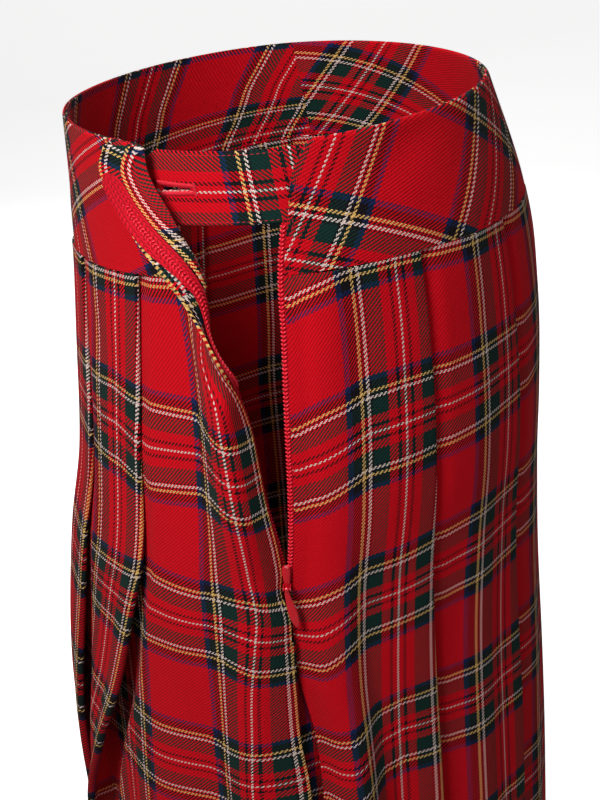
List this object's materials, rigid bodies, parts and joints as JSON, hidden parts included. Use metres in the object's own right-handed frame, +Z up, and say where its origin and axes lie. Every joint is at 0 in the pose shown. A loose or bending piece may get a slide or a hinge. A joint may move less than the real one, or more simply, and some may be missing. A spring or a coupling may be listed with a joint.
{
  "type": "pleated skirt",
  "caption": "Knee-length tartan skirt with knife pleats hanging from a shaped yoke, open at a side zip crossed by a buttoning tab, in its worn hollow form.",
  "frame": {"origin": "middle of the waist opening, level with the waist edge at the side zip", "axes": "+Z up along the wearer, -Y the wearer's front, +X the wearer's left side with the zip"},
  "size_m": [0.3286, 0.2998, 0.59],
  "materials": {
    "tartan": "red tartan twill, matt with a slight nap",
    "zip_tape": "knitted red zip tape",
    "zip_enamel": "red enamelled slider and pull",
    "button": "plain red plastic"
  },
  "bodies": {
    "skirt": {"yoke_front": "tartan", "yoke_back": "tartan", "yoke_facing_front": "tartan", "skirt_front": "tartan", "skirt_back": "tartan", "side_pleat_underlay": "tartan", "waist_tab": "tartan", "zip_tape_front": "zip_tape", "zip_tape_back": "zip_tape", "zip_slider": "zip_enamel", "tab_button": "button"},
    "zip_pull": {"zip_pull": "zip_enamel"}
  },
  "joints": [
    {"name": "pull_hinge", "type": "hinge", "parent": "skirt", "child": "zip_pull", "pos_m": [0.15557, 0.00006, -0.22086], "axis": [0, -1, 0], "range_deg": [0, 150]}
  ]
}
